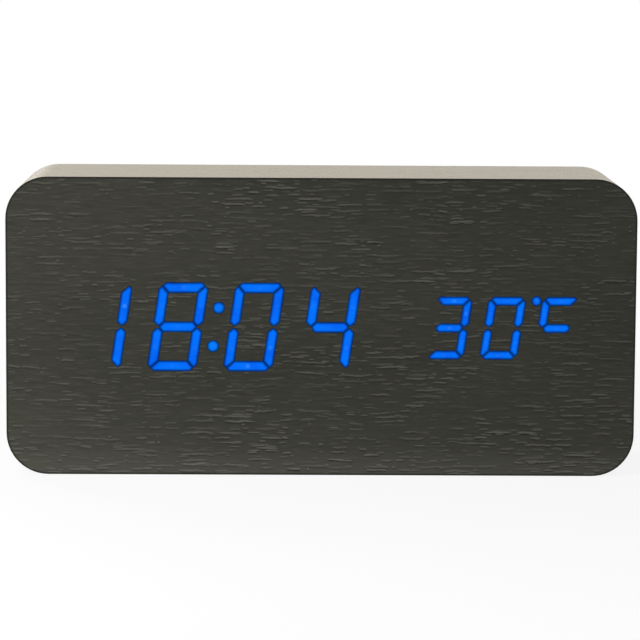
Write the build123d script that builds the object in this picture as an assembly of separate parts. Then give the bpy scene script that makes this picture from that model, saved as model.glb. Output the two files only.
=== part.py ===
from build123d import *
import os
from math import atan2, cos, degrees, hypot, pi, radians, sin, tan

# Wooden digital alarm clock, in millimetres. +Z is up, the display faces -Y and
# the origin is at the middle of the bottom face.

# Outside of the clock
width = 150.0
height = 71.3
depth = 42.0
corner_radius = 10.0
back_edge_chamfer = 0.6
film_thickness = 0.5
film_edge_chamfer = 0.2

# Flats that draw the rounds which repeat
round_sides = 24
small_round_sides = 12

# Wooden body
side_wall = 6.0
front_wall = 6.0
corner_post = 8.0
pocket_radius = 2.0
cover_ledge = 2.6

# Time digits
time_digit_height = 20.9
time_digit_width = 11.5
time_stroke = 2.15
time_digit_gap = 6.6
time_centre_x = -25.05
colon_diameter = 2.5
colon_spacing = 9.2

# Temperature digits
temp_digit_height = 14.7
temp_digit_width = 8.7
temp_stroke = 1.75
temp_digit_gap = 4.08
temp_centre_x = 43.3
degree_diameter = 2.0
degree_gap = 0.45
degree_lift = 0.2

# Segments of both groups
slant_angle = 8.4
segment_gap = 0.35
segment_corner_cut = 0.7
segment_tip_cut = 0.25

# Display module behind the front wall
shroud_margin = 1.8
shroud_gap = 0.3
shroud_flange = 2.0
shroud_corner_cut = 1.5
flange_rim = 6.8
flange_end = 4.0
board_edge_gap = 0.5
board_corner_cut = 1.5
board_thickness = 1.6
diffuser_thickness = 0.3
led_length = 1.2
led_width = 0.8
led_height = 0.8
display_screw_inset = 3.4
display_screw_depth = 4.4

# Rear cover
cover_thickness = 2.0
cover_recess = 1.5
cover_gap = 0.25
cover_edge_chamfer = 0.4
cover_screw_depth = 9.0
cover_screw_head_diameter = 5.0
cover_screw_head_height = 1.3
cover_screw_head_chamfer = 0.4
cover_screw_diameter = 2.6
cross_slot_width = 0.7
cross_slot_length = 2.8
cross_slot_depth = 0.7

# Small self-tapping screws of the two boards
board_screw_diameter = 2.0
board_screw_head_diameter = 3.8
board_screw_head_height = 1.4
screw_hole_gap = 0.15
pilot_gap = 0.05

# Power cells, size AAA
cell_count = 4
cell_diameter = 10.5
cell_length = 44.5
cell_nub_diameter = 3.6
cell_nub_height = 1.1
cell_edge_chamfer = 0.5
cell_gap = 0.4

# Battery well and its door
well_side_gap = 0.3
well_floor_gap = 0.3
well_wall = 2.0
well_floor = 1.5
well_room_gap = 0.3
cell_rib_width = 1.2
cell_rib_height = 2.5
door_to_cell = 0.5
door_ledge = 0.8
door_gap = 0.3
door_corner_radius = 1.2
door_edge_chamfer = 0.3
door_tab_width = 7.0
door_tab_thickness = 1.2
door_tab_reach = 2.0
door_tab_root = 2.0
door_tab_gap = 0.25
door_tab_spread = 28.0
door_tongue_width = 11.0
door_tongue_length = 9.0
door_tongue_slit = 0.8
door_tongue_rib = 1.0
finger_notch_radius = 6.0
finger_notch_depth = 1.0

# Battery contacts and springs
contact_thickness = 0.4
contact_width = 9.0
contact_length = 8.0
contact_tail_width = 2.4
contact_tail_overlap = 3.0
contact_tail_shift = 2.5
contact_slot_gap = 0.2
spring_length = 3.8
spring_wire = 0.5
spring_base_radius = 3.3
spring_tip_radius = 2.2
spring_quarter_turns = 8
spring_end_gap = 0.02

# Main board
main_board_width = 50.0
main_board_height = 42.0
main_board_gap = 1.5
main_boss_diameter = 5.0
main_boss_inset = 3.0
main_boss_tail_gap = 0.5
main_screw_depth = 4.5

# Push buttons and their switches
button_pitch = 12.0
button_row = 9.5
button_diameter = 7.0
button_flange_lip = 1.0
button_flange = 1.0
button_proud = 1.0
button_stem = 1.4
button_stem_diameter = 2.8
button_gap = 0.25
button_rest_gap = 0.1
button_edge_chamfer = 0.4
switch_height = 5.0
switch_size = 6.0
switch_base_height = 3.2
switch_cover_thickness = 0.3
switch_well_gap = 0.3
switch_well_depth = 2.2
plunger_diameter = 3.4
plunger_flange_diameter = 4.2
plunger_flange = 0.6
plunger_gap = 0.15

# Power inlet
inlet_x = 12.5
inlet_row = -11.0
inlet_opening_width = 7.0
inlet_opening_height = 1.9
inlet_chamfer = 0.6
inlet_sheet = 0.3
inlet_gap = 0.1
inlet_floor = 1.2
tongue_width = 3.7
tongue_thickness = 0.6
tongue_length = 4.2
inlet_window_width = 11.5
inlet_window_height = 7.0
inlet_window_chamfer = 0.8

# Buzzer, sound holes, temperature sensor and vents
buzzer_x = -12.0
buzzer_row = -6.5
buzzer_diameter = 12.0
buzzer_height = 6.0
buzzer_edge_chamfer = 0.5
buzzer_hole_diameter = 2.0
buzzer_hole_depth = 1.5
sound_hole_diameter = 1.5
sound_hole_count = 6
sound_ring_radius = 3.2
sensor_x = 0.5
sensor_row = -14.0
sensor_diameter = 2.4
sensor_length = 2.6
sensor_tip_chamfer = 0.5
sensor_lead = 0.5
sensor_lead_spacing = 1.4
sensor_standoff = 3.0
vent_count = 4
vent_length = 7.0
vent_width = 1.2
vent_pitch = 2.4
vent_corner_cut = 0.35

# Chips, crystal and the cable between the boards
chip_length = 17.9
chip_width = 7.5
chip_height = 2.1
chip_lift = 0.2
chip_leg_count = 6
chip_leg_pitch = 2.6
chip_leg_width = 0.7
chip_leg_reach = 1.3
chip_leg_thickness = 0.3
driver_chip_x = -20.0
controller_row = 9.5
crystal_x = 16.0
crystal_row = 1.0
crystal_diameter = 3.0
crystal_length = 8.0
plug_length = 15.0
plug_width = 5.0
plug_height = 3.5
plug_row = -8.0
cable_width = 12.7
cable_thickness = 0.9
cable_rise = 4.0

# Places derived from the sizes above, front to back
front_y = -depth / 2
film_back_y = front_y + film_thickness
diffuser_back_y = film_back_y + diffuser_thickness
wall_back_y = film_back_y + front_wall
display_board_y = wall_back_y + shroud_flange
display_board_back_y = display_board_y + board_thickness
back_y = depth / 2
cover_out_y = back_y - cover_recess
cover_in_y = cover_out_y - cover_thickness
board_standoff = switch_height + button_stem + button_flange + button_rest_gap
main_board_y = cover_in_y - board_standoff
main_board_front_y = main_board_y - board_thickness
cell_y = cover_in_y - door_to_cell - cell_diameter / 2
well_floor_y = cell_y - cell_diameter / 2 - well_floor_gap

# Heights and outlines
middle_z = height / 2
pocket_width = width - 2 * side_wall
pocket_height = height - 2 * side_wall
rim = side_wall - cover_ledge
rebate_width = width - 2 * rim
rebate_height = height - 2 * rim
rebate_radius = corner_radius - rim
cover_width = rebate_width - 2 * cover_gap
cover_height = rebate_height - 2 * cover_gap
post_x = pocket_width / 2 - corner_post / 2
post_z = pocket_height / 2 - corner_post / 2
cover_screw_spots = [(x, middle_z + z) for x in (-post_x, post_x) for z in (-post_z, post_z)]

# Battery well and main board stand side by side, centred on the cover
cell_pitch = cell_diameter + cell_gap
well_length = cell_length + spring_length + 2 * contact_thickness + 4 * spring_end_gap
well_height = (cell_count - 1) * cell_pitch + cell_diameter + 2 * well_side_gap
group_width = well_length + 2 * well_wall + main_board_gap + main_board_width
well_left_x = -group_width / 2 + well_wall
well_right_x = well_left_x + well_length
well_x = (well_left_x + well_right_x) / 2
main_board_x = group_width / 2 - main_board_width / 2
main_board_left_x = main_board_x - main_board_width / 2
cell_rows = [middle_z + (i - (cell_count - 1) / 2) * cell_pitch for i in range(cell_count)]
door_width = well_length + 2 * door_ledge
door_height = well_height + 2 * door_ledge
door_low_z = middle_z - door_height / 2
door_top_z = middle_z + door_height / 2


def slab(sketch, y_front, y_back):
    """Solid between two planes, from an outline drawn in X and Z."""
    return extrude(Plane.XZ.offset(-y_back) * sketch, amount=y_back - y_front)


def plate(x, z, size_x, size_z, y_front, y_back, radius=0.0, cut=0.0):
    """Flat plate centred on x and z, with plain, rounded or cut corners."""
    outline = Rectangle(size_x, size_z)
    if radius > 0:
        outline = fillet(outline.vertices(), radius)
    if cut > 0:
        outline = chamfer(outline.vertices(), cut)
    return slab(Pos(x, z) * outline, y_front, y_back)


def pin(x, z, diameter, y_front, y_back):
    """Round pin or hole along Y."""
    return slab(Pos(x, z) * Circle(diameter / 2), y_front, y_back)


def small_pin(x, z, diameter, y_front, y_back, sides=small_round_sides):
    """Small pin or hole along Y, drawn with flats."""
    return slab(Pos(x, z) * RegularPolygon(diameter / 2, sides), y_front, y_back)


def slanted(points, x, z):
    """Move digit points to their place and lean them to the right."""
    lean = tan(radians(slant_angle))
    return [(x + px + pz * lean, z + pz) for px, pz in points]


def segment_shapes(digit_width, digit_height, stroke):
    """Corner points of the seven upright segments of a digit, a to g."""
    w = digit_width / 2
    h = digit_height / 2
    t = stroke
    k = segment_gap / 2 ** 0.5
    m = segment_corner_cut * stroke
    c = segment_tip_cut
    top = [(-w + m, h), (w - m, h), (w - (m + k) / 2, h - (m - k) / 2), (w - t - k, h - t)]
    top += [(-w + t + k, h - t), (-w + (m + k) / 2, h - (m - k) / 2)]
    side = [(w, h - m), (w - (m - k) / 2, h - (m + k) / 2), (w - t, h - t - k)]
    side += [(w - t, t / 2 + k), (w - t / 2 - c, k + c), (w - t / 2 + c, k + c), (w, t / 2 + k)]
    bar = [(-w + t / 2 + k + c, -c), (-w + t / 2 + k + c, c), (-w + t + k, t / 2), (w - t - k, t / 2)]
    bar += [(w - t / 2 - k - c, c), (w - t / 2 - k - c, -c), (w - t - k, -t / 2), (-w + t + k, -t / 2)]
    return {
        "a": top,
        "b": side,
        "c": [(x, -z) for x, z in side],
        "d": [(x, -z) for x, z in top],
        "e": [(-x, -z) for x, z in side],
        "f": [(-x, z) for x, z in side],
        "g": bar,
    }


def digit_faces(names, shapes, x):
    """Outlines of the named segments of the digit centred on x."""
    return [make_face(Polyline(*slanted(shapes[name], x, middle_z), close=True)) for name in names]


def dot_face(diameter, x, rise, digit_x):
    """Round dot, placed beside a digit and leaning with it."""
    place = slanted([(x, rise)], digit_x, middle_z)[0]
    return Pos(*place) * RegularPolygon(diameter / 2, round_sides)


def write(name, shape):
    """Write one piece."""
    shape.label = name
    export_step(shape, f"parts/{name}.step")


def group(solids):
    """Separate solids kept together in one file."""
    return Compound(children=list(solids))


# Digit places and shapes
time_shapes = segment_shapes(time_digit_width, time_digit_height, time_stroke)
temp_shapes = segment_shapes(temp_digit_width, temp_digit_height, temp_stroke)
time_pitch = time_digit_width + time_digit_gap
temp_pitch = temp_digit_width + temp_digit_gap
time_places = [time_centre_x + (i - 1.5) * time_pitch for i in range(4)]
temp_places = [temp_centre_x + (i - 1) * temp_pitch for i in range(3)]
degree_x = temp_pitch - temp_digit_width / 2 - degree_gap - degree_diameter / 2
degree_rise = temp_digit_height / 2 - degree_diameter / 2 + degree_lift
colon_faces = [dot_face(colon_diameter, 0, s * colon_spacing / 2, time_centre_x) for s in (1, -1)]
degree_face = dot_face(degree_diameter, degree_x, degree_rise, temp_centre_x)

# Segments that shine through the film, showing 18:04 and 30 degrees
lit_groups = {
    "lit_hour_tens": digit_faces("bc", time_shapes, time_places[0]),
    "lit_hour_units": digit_faces("abcdefg", time_shapes, time_places[1]),
    "lit_colon": colon_faces,
    "lit_minute_tens": digit_faces("abcdef", time_shapes, time_places[2]),
    "lit_minute_units": digit_faces("bcfg", time_shapes, time_places[3]),
    "lit_temperature_tens": digit_faces("abcdg", temp_shapes, temp_places[0]),
    "lit_temperature_units": digit_faces("abcdef", temp_shapes, temp_places[1]),
    "lit_degree_unit": [degree_face] + digit_faces("afg", temp_shapes, temp_places[2]),
}
lit_solids = {}
for name, faces in lit_groups.items():
    lit_solids[name] = [slab(face, front_y, film_back_y) for face in faces]
    write(name, group(lit_solids[name]))

# Wood-grain film over the front, open where the lit segments are
film = plate(0, middle_z, width, height, front_y, film_back_y, corner_radius)
film = chamfer(film.edges().group_by(Axis.Y)[0], film_edge_chamfer)
film = film - [solid for solids in lit_solids.values() for solid in solids]
write("front_film", film)

# Display module: one well for each of the segments, lit or not
segment_faces = []
for x in time_places:
    segment_faces += digit_faces("abcdefg", time_shapes, x)
for x in temp_places:
    segment_faces += digit_faces("abcdefg", temp_shapes, x)
segment_faces += colon_faces + [degree_face]
time_half = time_digit_width / 2 + time_digit_height / 2 * tan(radians(slant_angle))
temp_half = temp_digit_width / 2 + temp_digit_height / 2 * tan(radians(slant_angle))
nose_left_x = time_places[0] - time_half - shroud_margin
nose_right_x = temp_places[-1] + temp_half + shroud_margin
nose_x = (nose_left_x + nose_right_x) / 2
nose_width = nose_right_x - nose_left_x
nose_height = time_digit_height + 2 * shroud_margin
flange_width = nose_width + 2 * flange_end
flange_height = nose_height + 2 * flange_rim
screw_column = flange_width / 2 - display_screw_inset
screw_row = flange_height / 2 - display_screw_inset
display_screw_spots = [
    (nose_x + sx * screw_column, middle_z + sz * screw_row) for sx in (-1, 1) for sz in (-1, 1)
]
board_screw_hole = board_screw_diameter + 2 * screw_hole_gap
board_pilot = board_screw_diameter + 2 * pilot_gap

nose = [nose_x, middle_z, nose_width, nose_height]
flange = [nose_x, middle_z, flange_width, flange_height]
shroud = plate(*nose, diffuser_back_y, wall_back_y, cut=shroud_corner_cut)
shroud += plate(*flange, wall_back_y, display_board_y, cut=board_corner_cut)
shroud = shroud - [slab(face, diffuser_back_y, display_board_y) for face in segment_faces]
shroud = shroud - [
    small_pin(x, z, board_screw_hole, wall_back_y, display_board_y) for x, z in display_screw_spots
]
write("segment_shroud", shroud)
write("diffuser_sheet", plate(*nose, film_back_y, diffuser_back_y, cut=shroud_corner_cut))

leds = []
for face in segment_faces:
    spot = face.center()
    leds.append(plate(spot.X, spot.Y, led_length, led_width, display_board_y - led_height, display_board_y))
write("segment_leds", group(leds))

display_board = plate(*flange, display_board_y, display_board_back_y, cut=board_corner_cut)
display_board = display_board - [
    small_pin(x, z, board_screw_hole, display_board_y, display_board_back_y) for x, z in display_screw_spots
]
write("display_board", display_board)

display_screws = []
head_back_y = display_board_back_y + board_screw_head_height
for x, z in display_screw_spots:
    screw = small_pin(x, z, board_screw_diameter, wall_back_y - display_screw_depth, display_board_back_y)
    screw += small_pin(x, z, board_screw_head_diameter, display_board_back_y, head_back_y)
    display_screws.append(screw)
write("display_screws", group(display_screws))


def chip(x, z, board_face_y, side):
    """Flat chip with two rows of legs, on the face of a board that looks to side."""
    under_y = board_face_y + side * chip_lift
    body = plate(x, z, chip_length, chip_width, *sorted([under_y, under_y + side * chip_height]))
    leg_y = sorted([board_face_y, under_y + side * chip_leg_thickness])
    leg_z = (chip_width + chip_leg_reach) / 2
    for i in range(chip_leg_count):
        leg_x = x + (i - (chip_leg_count - 1) / 2) * chip_leg_pitch
        body += [plate(leg_x, z + s * leg_z, chip_leg_width, chip_leg_reach, *leg_y) for s in (-1, 1)]
    return body


write("display_driver_chip", chip(driver_chip_x, middle_z, display_board_back_y, 1))

# Wooden body, hollowed from the back
body = plate(0, middle_z, width, height, film_back_y, back_y, corner_radius)
body = chamfer(body.edges().group_by(Axis.Y)[-1], back_edge_chamfer)
inner_width = pocket_width - 2 * corner_post
inner_height = pocket_height - 2 * corner_post
body -= plate(0, middle_z, pocket_width, inner_height, wall_back_y, back_y, pocket_radius)
body -= plate(0, middle_z, inner_width, pocket_height, wall_back_y, back_y, pocket_radius)
module_room = [nose_x, middle_z, flange_width + 2 * board_edge_gap, flange_height + 2 * board_edge_gap]
body -= plate(*module_room, wall_back_y, head_back_y + board_edge_gap)
well_outline = [well_x, middle_z, well_length + 2 * well_wall, well_height + 2 * well_wall]
well_room = [well_x, middle_z, well_outline[2] + 2 * well_room_gap, well_outline[3] + 2 * well_room_gap]
body -= plate(*well_room, well_floor_y - well_floor - well_room_gap, cover_in_y)
body -= plate(0, middle_z, rebate_width, rebate_height, cover_in_y, back_y, rebate_radius)
window = [nose_x, middle_z, nose_width + 2 * shroud_gap, nose_height + 2 * shroud_gap]
body -= plate(*window, film_back_y, wall_back_y, cut=shroud_corner_cut)
pilot_y = wall_back_y - display_screw_depth
body = body - [small_pin(x, z, board_pilot, pilot_y, wall_back_y) for x, z in display_screw_spots]
cover_pilot = cover_screw_diameter + 2 * pilot_gap
cover_pilot_y = cover_in_y - cover_screw_depth
body = body - [small_pin(x, z, cover_pilot, cover_pilot_y, cover_in_y) for x, z in cover_screw_spots]
write("wood_body", body)

# Main board places
button_spots = [(main_board_x + i * button_pitch, middle_z + button_row) for i in (-1, 0, 1)]
inlet_spot = (main_board_x + inlet_x, middle_z + inlet_row)
buzzer_spot = (main_board_x + buzzer_x, middle_z + buzzer_row)
sensor_spot = (main_board_x + sensor_x, middle_z + sensor_row)
tail_end_x = main_board_left_x + contact_tail_overlap
left_boss_x = tail_end_x + main_boss_tail_gap + main_boss_diameter / 2
right_boss_x = main_board_x + main_board_width / 2 - main_boss_inset
boss_z = main_board_height / 2 - main_boss_inset
boss_spots = [(x, middle_z + s * boss_z) for x in (left_boss_x, right_boss_x) for s in (-1, 1)]

# Rear cover with the battery well, board bosses and openings
cover = plate(0, middle_z, cover_width, cover_height, cover_in_y, cover_out_y, rebate_radius - cover_gap)
cover = chamfer(cover.edges().group_by(Axis.Y)[-1], cover_edge_chamfer)
cover += plate(*well_outline, well_floor_y - well_floor, cover_in_y)
cover += [small_pin(x, z, main_boss_diameter, main_board_y, cover_in_y) for x, z in boss_spots]
cover -= plate(well_x, middle_z, well_length, well_height, well_floor_y, cover_in_y)
door_hole = [well_x, middle_z, door_width + 2 * door_gap, door_height + 2 * door_gap]
cover -= plate(*door_hole, cover_in_y, cover_out_y, door_corner_radius + door_gap)
rib_y = well_floor_y + cell_rib_height
rib_length = well_length - 2 * (contact_thickness + contact_slot_gap)
for low_z, high_z in zip(cell_rows, cell_rows[1:]):
    cover += plate(well_x, (low_z + high_z) / 2, rib_length, cell_rib_width, well_floor_y, rib_y)
cover -= pin(well_x, door_top_z, 2 * finger_notch_radius, cover_out_y - finger_notch_depth, cover_out_y)

tab_front_y = cover_in_y - door_tab_gap - door_tab_thickness
tab_swing = hypot(cover_out_y - tab_front_y, door_tab_reach)
tab_slot_y = cover_out_y - tab_swing - door_tab_gap
tab_places = [well_x + s * door_tab_spread / 2 for s in (-1, 1)]
tab_slot_width = door_tab_width + 4 * door_tab_gap
wall_low_z = middle_z - well_height / 2 - well_wall / 2
cover = cover - [plate(x, wall_low_z, tab_slot_width, well_wall, tab_slot_y, cover_in_y) for x in tab_places]

tail_rows = [cell_rows[0] + contact_tail_shift, cell_rows[-1] - contact_tail_shift]
tail_back_y = main_board_y + contact_thickness
cover = cover - [
    plate(
        well_right_x + well_wall / 2,
        z,
        well_wall,
        contact_tail_width + 2 * contact_slot_gap,
        main_board_y - contact_slot_gap,
        tail_back_y + contact_slot_gap,
    )
    for z in tail_rows
]

button_hole = button_diameter + 2 * button_gap
cover = cover - [pin(x, z, button_hole, cover_in_y, cover_out_y) for x, z in button_spots]
inlet_window = Rectangle(inlet_window_width, inlet_window_height)
inlet_window = chamfer(inlet_window.vertices(), inlet_window_chamfer)
cover -= slab(Pos(*inlet_spot) * inlet_window, cover_in_y, cover_out_y)
cover -= small_pin(*buzzer_spot, sound_hole_diameter, cover_in_y, cover_out_y)
for i in range(sound_hole_count):
    turn = 2 * pi * i / sound_hole_count
    hole_x = buzzer_spot[0] + sound_ring_radius * cos(turn)
    hole_z = buzzer_spot[1] + sound_ring_radius * sin(turn)
    cover -= small_pin(hole_x, hole_z, sound_hole_diameter, cover_in_y, cover_out_y)
vent = Rectangle(vent_length, vent_width)
vent = chamfer(vent.vertices(), vent_corner_cut)
for i in range(vent_count):
    vent_z = sensor_spot[1] + (i - (vent_count - 1) / 2) * vent_pitch
    cover -= slab(Pos(sensor_spot[0], vent_z) * vent, cover_in_y, cover_out_y)
cover_screw_hole = cover_screw_diameter + 2 * screw_hole_gap
cover = cover - [small_pin(x, z, cover_screw_hole, cover_in_y, cover_out_y) for x, z in cover_screw_spots]
boss_pilot_y = main_board_y + main_screw_depth
cover = cover - [small_pin(x, z, board_pilot, main_board_y, boss_pilot_y) for x, z in boss_spots]
write("rear_cover", cover)

cover_screws = []
head_y = cover_out_y + cover_screw_head_height
for x, z in cover_screw_spots:
    head = small_pin(x, z, cover_screw_head_diameter, cover_out_y, head_y)
    head = chamfer(head.edges().group_by(Axis.Y)[-1], cover_screw_head_chamfer)
    head -= plate(x, z, cross_slot_length, cross_slot_width, head_y - cross_slot_depth, head_y)
    head -= plate(x, z, cross_slot_width, cross_slot_length, head_y - cross_slot_depth, head_y)
    head += small_pin(x, z, cover_screw_diameter, cover_pilot_y, cover_out_y)
    cover_screws.append(head)
write("cover_screws", group(cover_screws))

# Battery door, hooked in below and held by a springy tongue above
door = plate(well_x, middle_z, door_width, door_height, cover_in_y, cover_out_y, door_corner_radius)
door = chamfer(door.edges().group_by(Axis.Y)[-1], door_edge_chamfer)
slit_z = door_top_z - door_tongue_length / 2
for s in (-1, 1):
    slit_x = well_x + s * (door_tongue_width + door_tongue_slit) / 2
    door -= plate(slit_x, slit_z, door_tongue_slit, door_tongue_length, cover_in_y, cover_out_y)
door -= pin(well_x, door_top_z, 2 * finger_notch_radius, cover_out_y - finger_notch_depth, cover_out_y)
rib_z = door_top_z - door_ledge - well_side_gap - door_tongue_rib / 2
door += plate(well_x, rib_z, door_tongue_width, door_tongue_rib, cover_in_y - door_tongue_rib / 2, cover_in_y)
root_z = door_low_z + door_ledge + door_tab_root / 2
tab_length = door_tab_reach + door_ledge + door_tab_root
tab_z = door_low_z - door_tab_reach + tab_length / 2
tab_back_y = tab_front_y + door_tab_thickness
for x in tab_places:
    door += plate(x, root_z, door_tab_width, door_tab_root, tab_front_y, cover_in_y)
    door += plate(x, tab_z, door_tab_width, tab_length, tab_front_y, tab_back_y)
write("battery_door", door)

# Cells, laid head to tail so that they join in a row
left_face_x = well_left_x + contact_thickness
right_face_x = well_right_x - contact_thickness
end_gap = 2 * spring_end_gap
can_length = cell_length - cell_nub_height
can_radius = cell_diameter / 2
for i, z in enumerate(cell_rows):
    can = extrude(RegularPolygon(can_radius, round_sides), can_length)
    can_ends = can.edges().group_by(Axis.Z)
    can = chamfer(can_ends[0] + can_ends[-1], cell_edge_chamfer)
    nub = extrude(RegularPolygon(cell_nub_diameter / 2, small_round_sides), cell_nub_height)
    can += Pos(0, 0, can_length) * nub
    head_right = i % 2 == 0
    tail_x = right_face_x - end_gap - cell_length if head_right else left_face_x + end_gap + cell_length
    cell = Pos(tail_x, cell_y, z) * Rot(0, 90 if head_right else -90, 0) * can
    write(f"power_cell_{i + 1}", cell)

# Stamped contacts on the end walls of the well
contact_y = [cell_y - contact_width / 2, cell_y + contact_width / 2]


def end_contact(x, rows):
    """Contact plate across one or two cells."""
    span = rows[-1] - rows[0] + contact_length
    return plate(x, (rows[0] + rows[-1]) / 2, contact_thickness, span, *contact_y)


left_contact_x = well_left_x + contact_thickness / 2
right_contact_x = well_right_x - contact_thickness / 2
write("cell_link_lower", end_contact(left_contact_x, cell_rows[0:2]))
write("cell_link_upper", end_contact(left_contact_x, cell_rows[2:4]))
write("cell_link_middle", end_contact(right_contact_x, cell_rows[1:3]))
tail_x = (right_contact_x + tail_end_x) / 2
tail_length = tail_end_x - right_contact_x
for name, row, tail_z in zip(("positive_terminal", "negative_terminal"), (0, -1), tail_rows):
    terminal = end_contact(right_contact_x, [cell_rows[row]])
    terminal += plate(tail_x, tail_z, tail_length, contact_tail_width, main_board_y, tail_back_y)
    write(name, terminal)


def arc_pair(start, start_way, end, end_way):
    """Two arcs that join two points and follow the way of the wire at both."""
    chord = end - start
    ways = start_way + end_way
    spread = 2 * (1 - start_way.dot(end_way))
    reach = (-chord.dot(ways) + (chord.dot(ways) ** 2 + spread * chord.dot(chord)) ** 0.5) / spread
    joint = (start + end + (start_way - end_way) * reach) * 0.5
    first = TangentArc(start, joint, tangent=start_way)
    second = TangentArc(joint, end, tangent=first % 1)
    return [first, second]


def coil(turn):
    """Point and way of the conical spring's wire after a number of turns."""
    spring_turns = spring_quarter_turns / 4
    rise = spring_length - spring_wire
    share = turn / spring_turns
    radius = spring_base_radius + (spring_tip_radius - spring_base_radius) * share
    shrink = (spring_tip_radius - spring_base_radius) / spring_turns
    angle = 2 * pi * turn
    point = Vector(radius * cos(angle), radius * sin(angle), spring_wire / 2 + rise * share)
    way_x = shrink * cos(angle) - radius * 2 * pi * sin(angle)
    way_y = shrink * sin(angle) + radius * 2 * pi * cos(angle)
    return point, Vector(way_x, way_y, rise / spring_turns).normalized()


# Conical springs on the minus end of each cell
spring_edges = []
for i in range(spring_quarter_turns):
    spring_edges += arc_pair(*coil(i / 4), *coil((i + 1) / 4))
spring_path = Wire(spring_edges)
wire_start, wire_way = coil(0)
wire_plane = Plane(origin=wire_start, z_dir=wire_way)
spring = sweep(wire_plane * RegularPolygon(spring_wire / 2, 4), path=spring_path)
turn_points = [coil(i / 96)[0] for i in range(24 * spring_quarter_turns + 1)]
turn_gap = min(
    (later - point).length - spring_wire
    for i, point in enumerate(turn_points)
    for later in turn_points[i + 48 :]
)
print(f"least gap between spring turns: {turn_gap:.2f} mm")
for i, z in enumerate(cell_rows):
    on_left = i % 2 == 0
    foot_x = left_face_x + spring_end_gap if on_left else right_face_x - spring_end_gap
    write(f"cell_spring_{i + 1}", Pos(foot_x, cell_y, z) * Rot(0, 90 if on_left else -90, 0) * spring)

# Main board on its bosses
main_outline = [main_board_x, middle_z, main_board_width, main_board_height]
main_board = plate(*main_outline, main_board_front_y, main_board_y, cut=board_corner_cut)
main_board = main_board - [
    small_pin(x, z, board_screw_hole, main_board_front_y, main_board_y) for x, z in boss_spots
]
write("main_board", main_board)
main_screws = []
head_front_y = main_board_front_y - board_screw_head_height
for x, z in boss_spots:
    screw = small_pin(x, z, board_screw_diameter, main_board_front_y, boss_pilot_y)
    screw += small_pin(x, z, board_screw_head_diameter, head_front_y, main_board_front_y)
    main_screws.append(screw)
write("main_board_screws", group(main_screws))
write("controller_chip", chip(main_board_x, middle_z + controller_row, main_board_front_y, -1))

# Three push buttons with their switches
base_top_y = main_board_y + switch_base_height
switch_top_y = base_top_y + switch_cover_thickness
plunger_tip_y = main_board_y + switch_height
flange_back_y = cover_in_y - button_rest_gap
flange_front_y = flange_back_y - button_flange
button_top_y = cover_out_y + button_proud
plunger_flange_y = base_top_y - button_rest_gap
switch_well_diameter = plunger_flange_diameter + 2 * switch_well_gap
button_flange_diameter = button_diameter + 2 * button_flange_lip
for name, (x, z) in zip(("set", "up", "down"), button_spots):
    base = plate(x, z, switch_size, switch_size, main_board_y, base_top_y)
    base -= small_pin(x, z, switch_well_diameter, base_top_y - switch_well_depth, base_top_y)
    write(f"{name}_switch_base", base)
    shield = plate(x, z, switch_size, switch_size, base_top_y, switch_top_y)
    shield -= small_pin(x, z, plunger_diameter + 2 * plunger_gap, base_top_y, switch_top_y)
    write(f"{name}_switch_shield", shield)
    plunger = small_pin(x, z, plunger_diameter, plunger_flange_y, plunger_tip_y)
    plunger += small_pin(x, z, plunger_flange_diameter, plunger_flange_y - plunger_flange, plunger_flange_y)
    write(f"{name}_switch_plunger", plunger)
    button = small_pin(x, z, button_diameter, flange_back_y, button_top_y, round_sides)
    button = chamfer(button.edges().group_by(Axis.Y)[-1], button_edge_chamfer)
    button += small_pin(x, z, button_flange_diameter, flange_front_y, flange_back_y, round_sides)
    button += small_pin(x, z, button_stem_diameter, plunger_tip_y, flange_front_y)
    write(f"{name}_button", button)

# Power inlet standing on the main board
inlet_top_y = cover_in_y - inlet_gap
w, h, c = inlet_opening_width / 2, inlet_opening_height / 2, inlet_chamfer
mouth = make_face(Polyline((-w, h), (w, h), (w, c - h), (w - c, -h), (c - w, -h), (-w, c - h), close=True))
shell_outline = offset(mouth, inlet_sheet, kind=Kind.INTERSECTION)
shell = slab(Pos(*inlet_spot) * shell_outline, main_board_y, inlet_top_y)
shell -= slab(Pos(*inlet_spot) * mouth, main_board_y, inlet_top_y)
write("inlet_shell", shell)
core = slab(Pos(*inlet_spot) * mouth, main_board_y, main_board_y + inlet_floor)
tongue_y = main_board_y + inlet_floor + tongue_length
core += plate(*inlet_spot, tongue_width, tongue_thickness, main_board_y + inlet_floor, tongue_y)
write("inlet_core", core)

# Buzzer, crystal and temperature sensor
buzzer_top_y = main_board_y + buzzer_height
buzzer = small_pin(*buzzer_spot, buzzer_diameter, main_board_y, buzzer_top_y, round_sides)
buzzer = chamfer(buzzer.edges().group_by(Axis.Y)[-1], buzzer_edge_chamfer)
buzzer -= small_pin(*buzzer_spot, buzzer_hole_diameter, buzzer_top_y - buzzer_hole_depth, buzzer_top_y)
write("buzzer", buzzer)
crystal_y = main_board_y + crystal_diameter / 2
crystal_place = Pos(main_board_x + crystal_x, crystal_y, middle_z + crystal_row)
write("crystal", crystal_place * Rot(0, 90, 0) * Cylinder(crystal_diameter / 2, crystal_length))
sensor_y = main_board_y + sensor_standoff
sensor = small_pin(*sensor_spot, sensor_diameter, sensor_y, sensor_y + sensor_length)
sensor = chamfer(sensor.edges().group_by(Axis.Y)[-1], sensor_tip_chamfer)
for s in (-1, 1):
    lead_x = sensor_spot[0] + s * sensor_lead_spacing / 2
    sensor += plate(lead_x, sensor_spot[1], sensor_lead, sensor_lead, main_board_y, sensor_y)
write("temperature_sensor", sensor)

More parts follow.
